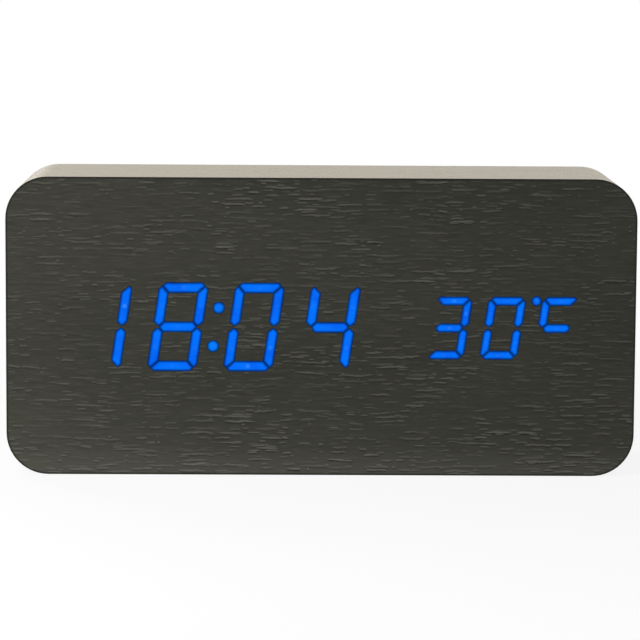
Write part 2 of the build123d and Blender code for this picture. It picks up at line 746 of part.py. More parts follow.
# Flat cable with its two plugs, bent like an S between the boards
plug_z = middle_z + plug_row
display_plug_y = display_board_back_y + plug_height
main_plug_y = main_board_front_y - plug_height
write(
    "display_plug",
    plate(main_board_x, plug_z + cable_rise, plug_length, plug_width, display_board_back_y, display_plug_y),
)
write(
    "main_board_plug",
    plate(main_board_x, plug_z, plug_length, plug_width, main_plug_y, main_board_front_y),
)
cable_run = main_plug_y - display_plug_y
bend = 2 * atan2(cable_rise, cable_run)
bend_radius = cable_run / (2 * sin(bend))
cable_path = JernArc((display_plug_y, plug_z + cable_rise), (1, 0), bend_radius, -degrees(bend))
cable_path += JernArc(cable_path @ 1, cable_path % 1, bend_radius, degrees(bend))
cable_plane = Plane(origin=(main_board_x - cable_width / 2, 0, 0), x_dir=(0, 1, 0), z_dir=(1, 0, 0))
cable = extrude(cable_plane * trace(cable_path, cable_thickness), amount=cable_width)
write("flat_cable", cable)
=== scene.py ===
from math import atan2, cos, hypot, pi, radians, sin
import bmesh
import bpy
from bpy.props import FloatProperty, FloatVectorProperty, IntProperty, PointerProperty
from mathutils import Matrix, Vector


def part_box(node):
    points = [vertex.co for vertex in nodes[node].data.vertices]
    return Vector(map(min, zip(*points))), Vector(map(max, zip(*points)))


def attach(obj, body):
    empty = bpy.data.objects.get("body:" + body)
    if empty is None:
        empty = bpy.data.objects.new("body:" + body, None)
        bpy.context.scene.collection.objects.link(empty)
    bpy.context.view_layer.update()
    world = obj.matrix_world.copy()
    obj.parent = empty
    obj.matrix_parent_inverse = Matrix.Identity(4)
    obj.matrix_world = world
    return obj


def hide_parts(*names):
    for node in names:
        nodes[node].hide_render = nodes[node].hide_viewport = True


bl_info = {
    "name": "Wooden Block Alarm Clock",
    "version": (1, 0, 0),
    "blender": (4, 5, 0),
    "location": "View3D > Sidebar > Clock",
    "description": "Dresses the frame of a wooden alarm clock with its finishes and finer pieces",
    "category": "Object",
}

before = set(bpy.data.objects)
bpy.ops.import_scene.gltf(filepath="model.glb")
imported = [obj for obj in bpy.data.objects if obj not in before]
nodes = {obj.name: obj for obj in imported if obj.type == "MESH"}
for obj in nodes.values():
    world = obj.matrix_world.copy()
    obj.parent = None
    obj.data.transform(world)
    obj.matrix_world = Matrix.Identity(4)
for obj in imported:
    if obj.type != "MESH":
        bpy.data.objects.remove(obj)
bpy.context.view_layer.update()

mm = 1000.0  # millimetres in a metre, since the finishes work in millimetres
near = 1e-6  # places this near to each other count as one
touching = 1e-7  # the same for the points of turned and cut forms
block_corner = 0.010  # radius of the corners of the block, as in the solids
film_margin = 0.0036  # reach of the film over the cut ends of the block's walls
film_recess = 1e-5  # depth of the film behind the lit segments
long_pores = (9.0, 1.3, 0.46)  # spacing along and across the grain, and thickness, in millimetres
short_pores = (4.0, 1.1, 0.40)
wire_pitch = 1.27  # of the flat cable, in millimetres
track_pitch = 1.27  # of the tracks on the boards, in millimetres
pad_pitch = 5.08  # of the bare pads on the boards, in millimetres
button_names = ("set", "up", "down")
cell_count = 4


def colour(name, description, default):
    """Colour setting of a finish."""
    return FloatVectorProperty(
        name=name,
        description=description,
        default=default,
        size=3,
        min=0.0,
        max=1.0,
        subtype="COLOR",
    )


def length(name, description, default):
    """Length setting of a piece."""
    return FloatProperty(
        name=name, description=description, default=default, min=0.0, unit="LENGTH"
    )


def offset(name, description, default):
    """Setting of a place along one axis."""
    return FloatProperty(name=name, description=description, default=default, unit="LENGTH")


def place(name, description, default):
    """Setting of a place in the scene."""
    return FloatVectorProperty(
        name=name,
        description=description,
        default=default,
        size=3,
        subtype="TRANSLATION",
        unit="LENGTH",
    )


def angle(name, description, degrees):
    """Setting of an angle."""
    return FloatProperty(
        name=name, description=description, default=radians(degrees), subtype="ANGLE"
    )


def power(name, description, default):
    """Setting of a lamp's power."""
    return FloatProperty(name=name, description=description, default=default, unit="POWER")


class ClockFinishes(bpy.types.PropertyGroup):
    """Colours of the clock"""

    film: colour("Film", "Ground of the wood-grain film", (0.0365, 0.0360, 0.0276))
    film_light: colour("Film pores", "Light pore lines of the film", (0.075, 0.074, 0.062))
    # film_dark is the darker ground tone; half of it is the painted shade beside the pores, and
    # 0.4 of it the painted shade along the front film's cut edge
    film_dark: colour("Film hollows", "Dark hollows beside the pores", (0.0178, 0.0177, 0.0133))
    fibreboard: colour("Fibreboard", "Bare board inside the block", (0.36, 0.24, 0.14))
    digits: colour("Digits", "Light of the segments", (0.002, 0.175, 1.0))
    colon: colour("Colon", "Light of the two dots", (0.002, 0.22, 1.0))
    cover: colour("Cover", "Moulded cover, door and buttons", (0.018, 0.018, 0.019))
    lacquer: colour("Boards", "Lacquer of the circuit boards", (0.012, 0.13, 0.055))
    sleeve: colour("Cells", "Sleeve of the power cells", (0.05, 0.075, 0.11))
    nickel: colour("Nickel", "Plated contacts, springs and screws", (0.66, 0.64, 0.60))


class ClockSizes(bpy.types.PropertyGroup):
    """Sizes of the finer forms"""

    digit_rim: length("Digit rim", "Width over which a segment fades at its rim", 0.0005)
    digit_bleed: length("Digit bleed", "Width of film dimly lit round a segment", 0.00022)
    button_edge: length("Button edge", "Rounding of the button tops", 0.0006)
    button_dish: length("Button dish", "Hollow in the button tops", 0.00025)
    screw_recess: length("Screw recess", "Length of the cross in the screw heads", 0.0026)
    sleeve_lip: length("Sleeve lip", "Sleeve folded over the ends of a cell", 0.0006)
    spring_wire: length("Spring wire", "Thickness of the spring wire", 0.0005)
    spring_turns: IntProperty(
        name="Spring turns", description="Turns of each spring", default=3, min=2, max=6
    )


class ClockStage(bpy.types.PropertyGroup):
    """Camera, light and floor"""

    lens: FloatProperty(
        name="Lens",
        description="Focal length",
        default=0.17764,
        unit="CAMERA",
        subtype="DISTANCE_CAMERA",
    )
    camera_x: offset("Camera X", "Place to the right", -0.01004)
    camera_y: offset("Camera Y", "Place in depth", -0.767)
    camera_z: offset("Camera Z", "Height", 0.129)
    pitch: angle("Pitch", "Tilt down", 6.997)
    yaw: angle("Yaw", "Turn to the right", 0.749)
    roll: angle("Roll", "Lean of the camera", 0.352)
    key: power("Key light", "Power of the soft light at the left", 2.2)
    key_size: length("Key size", "Side of the soft light at the left", 0.3)
    key_place: place("Key place", "Place of the soft light at the left", (-0.30, -0.25, 0.11))
    back: power("Back light", "Power of the soft light behind", 3.0)
    back_size: length("Back size", "Side of the soft light behind", 0.5)
    back_place: place("Back place", "Place of the soft light behind", (-0.36, 0.60, 0.45))
    fill: FloatProperty(
        name="Fill", description="Strength of the light from all round", default=0.31, min=0.0
    )
    floor: colour("Floor", "Pale floor", (0.9, 0.9, 0.9))


class Field:
    """Socket whose value changes over a surface, for use in sums."""

    def __init__(self, paint, socket):
        self.paint = paint
        self.socket = socket

    def other(self, output):
        """Field of another output of the same node."""
        return Field(self.paint, self.socket.node.outputs[output])

    def math(self, operation, first, second=0.0):
        """Field of a calculation on one or two values."""
        return self.paint.node("ShaderNodeMath", {"operation": operation}, {0: first, 1: second})

    def __add__(self, other):
        return self.math("ADD", self, other)

    def __sub__(self, other):
        return self.math("SUBTRACT", self, other)

    def __rsub__(self, other):
        return self.math("SUBTRACT", other, self)

    def __mul__(self, other):
        return self.math("MULTIPLY", self, other)

    def __truediv__(self, other):
        return self.math("DIVIDE", self, other)

    def __pow__(self, other):
        return self.math("POWER", self, other)

    def __mod__(self, other):
        return self.math("FLOORED_MODULO", self, other)

    def __lt__(self, other):
        return self.math("LESS_THAN", self, other)

    def __gt__(self, other):
        return self.math("GREATER_THAN", self, other)

    def __abs__(self):
        return self.math("ABSOLUTE", self)

    __radd__ = __add__
    __rmul__ = __mul__

    def most(self, other):
        """Field of the larger of two values."""
        return self.math("MAXIMUM", self, other)


class Paint:
    """Node tree of one finish."""

    def __init__(self, owner):
        owner.use_nodes = True
        self.owner = owner
        self.tree = owner.node_tree

    def node(self, kind, settings=None, sockets=None, output=0):
        """Add a node, with its settings first and then the values or links of its sockets."""
        made = self.tree.nodes.new(kind)
        for key, value in (settings or {}).items():
            setattr(made, key, value)
        for key, value in (sockets or {}).items():
            self.feed(made.inputs[key], value)
        return Field(self, made.outputs[output])

    def feed(self, socket, value):
        """Link a field to a socket, or set the socket to a plain value."""
        if isinstance(value, Field):
            self.tree.links.new(value.socket, socket)
        elif socket.type == "RGBA" and len(value) == 3:
            socket.default_value = (*value, 1.0)
        else:
            socket.default_value = value

    def shader(self, sockets):
        """Set the sockets of the main shader."""
        for key, value in sockets.items():
            self.feed(self.tree.nodes["Principled BSDF"].inputs[key], value)

    def split(self, vector):
        """Three fields of a vector."""
        first = self.node("ShaderNodeSeparateXYZ", sockets={0: vector})
        return first, first.other(1), first.other(2)

    def parts(self, vector):
        """Three fields of a vector in metres, in millimetres."""
        return [field * mm for field in self.split(vector)]

    def place(self):
        """Fields of the place on the piece, in millimetres."""
        return self.parts(self.node("ShaderNodeTexCoord", output="Object"))

    def noise(self, x, y, z, detail=2.0, roughness=0.5):
        """Cloudy field from three coordinates, each with its own scale."""
        spot = self.node("ShaderNodeCombineXYZ", sockets={0: x, 1: y, 2: z})
        sockets = {"Vector": spot, "Scale": 1.0, "Detail": detail, "Roughness": roughness}
        return self.node("ShaderNodeTexNoise", sockets=sockets)

    def cloud(self, spot, scale, detail=2.0, roughness=0.5):
        """Cloudy field with one scale all round, from the place on the piece."""
        x, y, z = (field * scale for field in spot)
        return self.noise(x, y, z, detail, roughness)

    def step(self, field, low, high):
        """Soft step from 0 at low to 1 at high."""
        settings = {"interpolation_type": "SMOOTHSTEP"}
        return self.node("ShaderNodeMapRange", settings, {0: field, 1: low, 2: high})

    def mix(self, share, first, second):
        """Colour between two colours."""
        sockets = {0: share, 6: first, 7: second}
        return self.node("ShaderNodeMix", {"data_type": "RGBA"}, sockets, output=2)

    def bump(self, height, distance, strength):
        """Normal from a field of heights."""
        sockets = {"Strength": strength, "Distance": distance, "Height": height}
        return self.node("ShaderNodeBump", sockets=sockets)


def finish(name, build, *values):
    """Material of this name, built the first time that it is asked for."""
    material = bpy.data.materials.get(name)
    if material is None:
        material = bpy.data.materials.new(name)
        build(Paint(material), *values)
    return material


def tint(shade, share):
    """Colour made lighter or darker."""
    return [part * share for part in shade]


def away(first, second):
    """Field of the length of an offset along two axes."""
    return (first * first + second * second) ** 0.5


def dashes(paint, along, across, reach, row, thick):
    """Light pores with painted shade along their lower side, each of its own length, along the
    grain.
    """
    u = along / reach
    v = across / row
    spot = paint.node("ShaderNodeCombineXYZ", sockets={0: u, 1: v})
    settings = {"voronoi_dimensions": "2D", "feature": "F1"}
    sockets = {"Vector": spot, "Scale": 1.0}
    seed = paint.node("ShaderNodeTexVoronoi", settings, sockets, output="Position")
    middle_u, middle_v, _ = paint.split(seed)
    chance, strength, _ = paint.split(seed.other("Color"))
    half_length = 0.06 + 0.42 * chance
    half_thick = thick / row / 2
    shade_drop = 1.5
    blur = (-0.5, 0.8)
    ends = 1.0 - ((u - middle_u) / half_length) ** 4.0
    rise = (v - middle_v) / half_thick
    low = rise + shade_drop
    light = paint.step(ends - rise * rise, *blur) * strength
    # painted shade: a second line just below each pore, where its hollow falls in shade
    painted_pore_shade = paint.step(ends - low * low, *blur) * strength
    return light, painted_pore_shade


def grain(paint, along, across, pale, print_weight_and_painted_glare):
    """Colour and height of the printed and embossed grain, from places along and across it, with
    painted shade beside the pores.
    """
    colours = bpy.context.scene.clock_finishes
    sway = paint.noise(along * 0.05, across * 0.11, 9.0)
    ripple = paint.noise(along * 0.45, across * 0.9, 7.0, detail=1.0)
    lane = across + sway * 1.6 + ripple * 0.55
    flock = paint.noise(along * 0.05, across * 0.13, 33.0)
    patch = paint.noise(along * 0.010, across * 0.030, 5.0)
    fibre = paint.noise(along * 0.14, lane * 1.7, 4.0, detail=4.0, roughness=0.6)
    # the weight passed in scales the marks; where it is below 1 it is painted glare over them
    gate = print_weight_and_painted_glare * (0.34 + 0.66 * paint.step(flock + 0.15 * pale, 0.38, 0.62))
    long_light, long_painted_shade = dashes(paint, along, lane, *long_pores)
    short_light, short_painted_shade = dashes(paint, along + 3.0, lane + 5.0, *short_pores)
    light = long_light.most(short_light * 0.8) * gate
    painted_pore_shade = long_painted_shade.most(short_painted_shade * 0.8) * gate
    # the pale share lightens the ground and the pores; on the front film it is painted floor light
    # towards the foot, on the block a small even lift of tone
    share = paint.step(fibre, 0.30, 0.70) * 0.45 + paint.step(patch, 0.35, 0.65) * 0.25 + pale
    ground = paint.mix(share, colours.film_dark, colours.film)
    ground = paint.mix(0.42 * pale * pale, ground, colours.film_light)
    # painted shade: the hollow beside each pore is darkened to half the darkest ground
    ground = paint.mix(painted_pore_shade * 0.9, ground, tint(colours.film_dark, 0.5))
    pore = paint.mix(pale, colours.film_light, tint(colours.film_light, 1.65))
    tone = paint.mix(light * 0.9, ground, pore)
    height = light - painted_pore_shade + fibre * 0.4
    return tone, height


def film_sheen(paint, tone, height):
    """Satin surface of the wood-grain film."""
    paint.shader({
        "Base Color": tone,
        "Roughness": 0.22 + 0.08 * paint.step(height, 0.0, 0.7),
        "IOR": 1.24,
        "Sheen Weight": 0.17,
        "Sheen Roughness": 0.3,
        "Sheen Tint": (1.0, 0.70, 0.18, 1.0),
        "Normal": paint.bump(height, 0.00002, 0.4),
    })


def outline(low, high):
    """Half width, half height, middle height and corner of the block's outline, from its box."""
    return high.x, (high.z - low.z) / 2, (high.z + low.z) / 2, block_corner


def out_of_corner(x, z, half_x, half_z, middle_z, corner):
    """Distance of a place from the block's core, which ends at the centres of its corners."""
    over_x = (abs(x) - (half_x - corner)).most(0.0)
    over_z = (abs(z - middle_z) - (half_z - corner)).most(0.0)
    return away(over_x, over_z)


def front_film_finish(paint, shape):
    """Film over the front, paler towards its foot by painted floor light, its marks weaker at the
    left by painted glare, and darkened along its cut edge by painted shade.
    """
    x, _, z = paint.place()
    # painted floor light: pale makes the film lighter towards its foot, standing in for the
    # floor's light falling on it
    pale = 0.45 * paint.step(z, 34.0, 0.0) + 0.55 * paint.step(z, 8.0, 0.0)
    # painted glare: the marks print at up to 0.32 less weight towards the left, standing in for
    # the key light's sheen veiling them there
    print_weight_and_painted_glare = 1.0 - 0.32 * paint.step(x, -10.0, -62.0)
    tone, height = grain(paint, x, z, pale, print_weight_and_painted_glare)
    corner = shape[-1]
    # painted shade: a dark band just inside the outline, where the film's cut edge turns away from
    # the light
    rim = paint.step(out_of_corner(x, z, *shape), corner - 0.65, corner - 0.3)
    edge = tint(bpy.context.scene.clock_finishes.film_dark, 0.4)
    tone = paint.mix(rim * 0.85, tone, edge)
    film_sheen(paint, tone, height)


def block_finish(paint, shape):
    """Film wrapped round the block, with bare fibreboard inside it."""
    wrap = paint.node("ShaderNodeUVMap", {"uv_map": "wrap"})
    along, across, _ = paint.parts(wrap)
    tone, height = grain(paint, along, across + 200.0, pale=0.1, print_weight_and_painted_glare=1.0)
    spot = paint.place()
    x, _, z = spot
    inside = out_of_corner(x, z, *shape) < shape[-1] - film_margin * mm
    fibres = paint.cloud(spot, 2.2, detail=4.0, roughness=0.7)
    board = bpy.context.scene.clock_finishes.fibreboard
    bare = paint.mix(paint.step(fibres, 0.3, 0.7), tint(board, 0.72), board)
    tone = paint.mix(inside, tone, bare)
    film_sheen(paint, tone, height * (1.0 - inside))


def digit_finish(paint, light):
    """Film lit from behind, brightest inside each segment."""
    x, _, z = paint.place()
    inside = paint.node("ShaderNodeAttribute", {"attribute_name": "glow"}, output="Fac")
    threads = paint.noise(x * 0.4, 0.0, z * 1.8)
    patch = paint.noise(x * 0.16, 3.0, z * 0.16, detail=3.0)
    share = paint.step(patch, 0.32, 0.58) * 0.75 + paint.step(threads, 0.4, 0.7) * 0.25
    dim = (light[0], light[1] * 0.68, light[2] * 0.88)
    shade = paint.mix(share, dim, light)
    over_x, over_z, _ = paint.parts(paint.node("ShaderNodeUVMap", {"uv_map": "lamp"}))
    lamp = paint.step(away(over_x, over_z), 0.75, 0.15) * (inside > 0.99)
    chance = paint.noise(x * 0.10, 8.0, z * 0.10, detail=1.0)
    heat = lamp * (0.06 + 0.44 * paint.step(chance, 0.56, 0.66))
    hot = (0.06, 0.34, 1.0)
    shade = paint.mix(heat, shade, hot)
    paint.shader({
        "Base Color": (0.0, 0.002, 0.01),
        "Roughness": 0.5,
        "Specular IOR Level": 0.0,
        "Emission Color": paint.mix(inside, (0.0, 0.0, 0.0), shade),
        "Emission Strength": 1.0,
    })


def moulded_finish(paint, shade, grain_depth, rough):
    """Moulded plastic with spark-eroded grain."""
    spot = paint.place()
    pits = paint.cloud(spot, 2.4, detail=3.0, roughness=0.65)
    cloud = paint.cloud(spot, 0.05)
    share = paint.step(cloud, 0.3, 0.7) * 0.4 + paint.step(pits, 0.35, 0.65) * 0.6
    paint.shader({
        "Base Color": paint.mix(share, tint(shade, 0.7), tint(shade, 1.3)),
        "Roughness": rough + 0.12 * (pits - 0.5),
        "Normal": paint.bump(pits, grain_depth, 0.6),
    })


def metal_finish(paint, shade, rough):
    """Plated metal with fine drawing lines."""
    spot = x, y, z = paint.place()
    lines = paint.noise(x * 0.6, y * 14.0, z * 14.0)
    stain = paint.cloud(spot, 0.25, detail=3.0)
    paint.shader({
        "Base Color": paint.mix(paint.step(stain, 0.35, 0.75), shade, tint(shade, 0.82)),
        "Metallic": 1.0,
        "Roughness": rough + 0.15 * (stain - 0.4) + 0.08 * lines,
        "Normal": paint.bump(lines, 0.000004, 0.5),
    })


def board_finish(paint):
    """Lacquered circuit board with copper tracks and bare pads."""
    lacquer = bpy.context.scene.clock_finishes.lacquer
    x, _, z = paint.place()
    cells = paint.noise(x * 0.11, 5.0, z * 0.11, detail=1.0)
    upright = cells > 0.5
    lane = abs((x * upright + z * (1.0 - upright)) % track_pitch - track_pitch / 2)
    track = paint.step(lane, 0.26, 0.2) * paint.step(abs(cells - 0.5), 0.015, 0.03)
    dots_x = abs(x % pad_pitch - pad_pitch / 2)
    dots_z = abs(z % pad_pitch - pad_pitch / 2)
    pad = paint.step(away(dots_x, dots_z), 0.6, 0.5)
    tone = paint.mix(track * 0.75, lacquer, [part * 2.1 + 0.006 for part in lacquer])
    tone = paint.mix(pad, tone, (0.72, 0.70, 0.66))
    paint.shader({
        "Base Color": tone,
        "Metallic": pad,
        "Roughness": 0.32 + 0.1 * pad,
        "Coat Weight": 0.5 * (1.0 - pad),
        "Normal": paint.bump(track + pad, 0.00003, 0.6),
    })


def sheet_finish(paint, shade, rough):
    """Milky or moulded white plastic."""
    spot = paint.place()
    cloud = paint.cloud(spot, 0.3, detail=3.0)
    pits = paint.cloud(spot, 2.5)
    paint.shader({
        "Base Color": paint.mix(paint.step(cloud, 0.3, 0.7), tint(shade, 0.93), shade),
        "Roughness": rough + 0.1 * (pits - 0.5),
        "Normal": paint.bump(pits, 0.00001, 0.4),
    })


def lamp_finish(paint):
    """Clear yellow resin of a light-emitting diode."""
    cloud = paint.cloud(paint.place(), 1.5)
    share = paint.step(cloud, 0.3, 0.7)
    paint.shader({
        "Base Color": paint.mix(share, (0.78, 0.72, 0.42), (0.88, 0.85, 0.62)),
        "Roughness": 0.18 + 0.1 * cloud,
    })


def cable_finish(paint, middle_x):
    """Flat cable with a ridge over each wire, darker in the grooves between them by painted shade.
    """
    spot = paint.place()
    across = (spot[0] - middle_x) % wire_pitch / wire_pitch - 0.5
    ridge = 1.0 - 4.0 * across * across
    fleck = paint.cloud(spot, 1.2)
    # painted shade: the colour darkens in the grooves between the wires and lightens on the ridges
    share = ridge * 0.8 + fleck * 0.2
    paint.shader({
        "Base Color": paint.mix(share, (0.22, 0.225, 0.23), (0.44, 0.45, 0.46)),
        "Roughness": 0.45 + 0.1 * fleck,
        "Normal": paint.bump(ridge, 0.00015, 0.8),
    })


def sleeve_finish(paint, first_x, last_x):
    """Shrink sleeve of a cell, with a plain pale band near its head."""
    sleeve = bpy.context.scene.clock_finishes.sleeve
    x, y, z = paint.place()
    wear = paint.noise(x * 0.35, y * 3.0, z * 3.0, detail=4.0, roughness=0.6)
    share = (x - first_x) / (last_x - first_x)
    band = paint.step(share, 0.72, 0.725)
    tone = paint.mix(band, sleeve, (0.42, 0.43, 0.44))
    tone = paint.mix(paint.step(wear, 0.55, 0.85) * 0.3, tone, (0.30, 0.31, 0.33))
    paint.shader({
        "Base Color": tone,
        "Metallic": 0.35 * band,
        "Roughness": 0.3 + 0.15 * wear,
        "Coat Weight": 0.4,
        "Normal": paint.bump(wear, 0.00002, 0.3),
    })


def smooth(bm, sharp=radians(32)):
    """Shade round faces smoothly and keep the sharp edges."""
    for face in bm.faces:
        face.smooth = True
    for edge in bm.edges:
        edge.smooth = edge.calc_face_angle(0.0) < sharp


def cad_copy(node):
    """Joined copy of a solid, with its flat faces whole again."""
    bm = bmesh.new()
    bm.from_mesh(nodes[node].data)
    bmesh.ops.remove_doubles(bm, verts=bm.verts, dist=near)
    bmesh.ops.dissolve_limit(bm, angle_limit=radians(0.5), verts=bm.verts, edges=bm.edges)
    return bm


def turned(profile, rounding, steps):
    """Turned form round Z, from corners of radius, height and whether the corner is rounded."""
    bm = bmesh.new()
    verts = [bm.verts.new((radius, 0.0, rise)) for radius, rise, _ in profile]
    for pair in zip(verts, verts[1:]):
        bm.edges.new(pair)
    corners = [vert for vert, (_, _, soft) in zip(verts, profile) if soft]
    bmesh.ops.bevel(
        bm,
        geom=corners,
        offset=rounding,
        affect="VERTICES",
        segments=6,
        profile=0.5,
        material=-1,
    )
    line = bm.verts[:] + bm.edges[:]
    bmesh.ops.spin(bm, geom=line, axis=(0, 0, 1), angle=2 * pi, steps=steps, use_merge=True)
    bmesh.ops.remove_doubles(bm, verts=bm.verts, dist=touching)
    bmesh.ops.recalc_face_normals(bm, faces=bm.faces)
    return bm


def piece(name, bm, body, replaced, slot, *materials):
    """Put a finished form in the scene in place of its solids."""
    mesh = bpy.data.meshes.new(name)
    bm.to_mesh(mesh)
    bm.free()
    for material in materials:
        mesh.materials.append(material)
    made = bpy.data.objects.new(name, mesh)
    bpy.context.scene.collection.objects.link(made)
    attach(made, body)
    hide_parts(*replaced)
    return made


def dress(material, *names):
    """Give solids of the frame their finish."""
    for name in names:
        slots = nodes[name].data.materials
        slots.clear()
        slots.append(material)


class ClockOperator(bpy.types.Operator):
    """Makes pieces of the clock"""

    bl_options = {"REGISTER", "UNDO"}

    @property
    def finishes(self):
        """Colours of the clock."""
        return bpy.context.scene.clock_finishes

    @property
    def sizes(self):
        """Sizes of the finer forms."""
        return bpy.context.scene.clock_sizes

    def nickel(self):
        """Plating of the contacts, springs and small screws."""
        return finish("Nickel", metal_finish, self.finishes.nickel, 0.28)

    def chip_resin(self):
        """Black resin of the chips, switches and other parts on the boards."""
        return finish("Chip Resin", moulded_finish, (0.014, 0.014, 0.015), 0.00001, 0.42)

    def board_lacquer(self):
        """Lacquer of the two boards."""
        return finish("Board Lacquer", board_finish)

    def cover_plastic(self):
        """Plastic of the cover and its door."""
        return finish("Cover Plastic", moulded_finish, self.finishes.cover, 0.0001, 0.5)


def wrap_places(bm, half_x, half_z, middle_z, corner):
    """Unroll the film round the block into a map, in metres."""
    layer = bm.loops.layers.uv.new("wrap")
    flat_x, flat_z = half_x - corner, half_z - corner
    turn = corner * pi / 2
    square = 0.999
    for face in bm.faces:
        way = face.normal
        side = 1.0 if face.calc_center_median().x > 0 else -1.0
        for loop in face.loops:
            x, y, z = loop.vert.co
            z -= middle_z
            x_out, up, down = side * x - flat_x, z - flat_z, -z - flat_z
            if abs(way.y) > 0.7:
                spot = (x, z)
            elif way.z > square:
                spot = (x, y)
            elif way.z < -square:
                spot = (2 * flat_x + 2 * turn + 2 * flat_z - x, y)
            elif abs(way.x) > square:
                spot = (side * (flat_x + turn + flat_z - z), y)
            elif way.z > 0:
                spot = (side * (flat_x + corner * atan2(x_out, up)), y)
            else:
                lower = flat_x + turn + 2 * flat_z
                spot = (side * (lower + corner * atan2(down, x_out)), y)
            loop[layer].uv = spot


class CLOCK_OT_wooden_block(ClockOperator):
    """Wooden block with the film wrapped round it"""

    bl_idname = "clock.wooden_block"
    bl_label = "Wooden Block"

    def execute(self, context):
        low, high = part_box("wood_body")
        shape = outline(low, high)
        bm = cad_copy("wood_body")
        smooth(bm)
        wrap_places(bm, *shape)
        material = finish("Wrapped Block", block_finish, [size * mm for size in shape])
        piece("wooden_block", bm, "case", ["wood_body"], "dark_wood", material)
        return {"FINISHED"}


class CLOCK_OT_front_film(ClockOperator):
    """Wood-grain film over the display"""

    bl_idname = "clock.front_film"
    bl_label = "Front Film"

    def execute(self, context):
        low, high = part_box("front_film")
        shape = outline(low, high)
        bm = cad_copy("front_film")
        face = [v for v in bm.verts if v.co.y < low.y + near]
        bmesh.ops.translate(bm, vec=(0.0, film_recess, 0.0), verts=face)
        smooth(bm)
        material = finish("Front Film", front_film_finish, [size * mm for size in shape])
        piece("grain_film", bm, "case", ["front_film"], "dark_film", material)
        return {"FINISHED"}


class CLOCK_OT_lit_digits(ClockOperator):
    """Segments that shine through the film"""

    bl_idname = "clock.lit_digits"
    bl_label = "Lit Digits"
    rim_light = 0.32  # share of the light at the outline of a segment

    def execute(self, context):
        segments = finish("Lit Digits", digit_finish, self.finishes.digits)
        dots = finish("Lit Colon", digit_finish, self.finishes.colon)
        rings = ((self.sizes.digit_bleed, self.rim_light), (self.sizes.digit_rim, 1.0))
        for name in [name for name in nodes if name.startswith("lit_")]:
            material = dots if name == "lit_colon" else segments
            bm = cad_copy(name)
            fronts = [f for f in bm.faces if f.normal.y < -0.9]
            layer = bm.verts.layers.float.new("glow")
            self.spread(bm, fronts)
            for width, light in rings:
                bmesh.ops.inset_individual(bm, faces=fronts, thickness=width, use_even_offset=True)
                for vert in {v for face in fronts for v in face.verts}:
                    vert[layer] = light
            self.place_lamps(bm, fronts)
            piece(name.replace("lit", "glow"), bm, "case", [name], "lit_blue", material)
        return {"FINISHED"}

    def spread(self, bm, fronts):
        """Widen each front into a thin lip over the film, where the light dies away."""
        foot = list({v for face in fronts for v in face.verts})
        out = -self.sizes.digit_bleed
        bmesh.ops.inset_individual(bm, faces=fronts, thickness=out, use_even_offset=True)
        bmesh.ops.translate(bm, vec=(0.0, film_recess, 0.0), verts=foot)

    def place_lamps(self, bm, fronts):
        """Map of the offset from the diode behind each segment, in metres."""
        layer = bm.loops.layers.uv.new("lamp")
        for face in fronts:
            middle = face.calc_center_bounds()
            for loop in face.loops:
                loop[layer].uv = (loop.vert.co - middle).xz


class CLOCK_OT_display_module(ClockOperator):
    """Shroud, diffuser, diodes and board behind the front wall"""

    bl_idname = "clock.display_module"
    bl_label = "Display Module"

    def execute(self, context):
        white = finish("White Plastic", sheet_finish, (0.78, 0.78, 0.76), 0.5)
        dress(white, "segment_shroud", "display_plug", "main_board_plug")
        dress(finish("Milky Sheet", sheet_finish, (0.80, 0.83, 0.86), 0.35), "diffuser_sheet")
        dress(finish("Diode Resin", lamp_finish), "segment_leds")
        dress(self.board_lacquer(), "display_board")
        dress(self.chip_resin(), "display_driver_chip")
        dress(self.nickel(), "display_screws")
        low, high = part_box("flat_cable")
        middle_x = (low.x + high.x) / 2
        dress(finish("Flat Cable", cable_finish, middle_x * mm), "flat_cable")
        return {"FINISHED"}


class CLOCK_OT_main_board(ClockOperator):
    """Main board with its chip, crystal, buzzer, sensor, switches and inlet"""

    bl_idname = "clock.main_board"
    bl_label = "Main Board"

    def execute(self, context):
        chip = self.chip_resin()
        dress(self.board_lacquer(), "main_board")
        dress(chip, "controller_chip", "buzzer", "inlet_core")
        nickel = self.nickel()
        dress(nickel, "main_board_screws", "crystal", "inlet_shell")
        resin = finish("Sensor Resin", moulded_finish, (0.05, 0.035, 0.03), 0.00002, 0.25)
        dress(resin, "temperature_sensor")
        for name in button_names:
            dress(chip, f"{name}_switch_base", f"{name}_switch_plunger")
            dress(nickel, f"{name}_switch_shield")
        return {"FINISHED"}


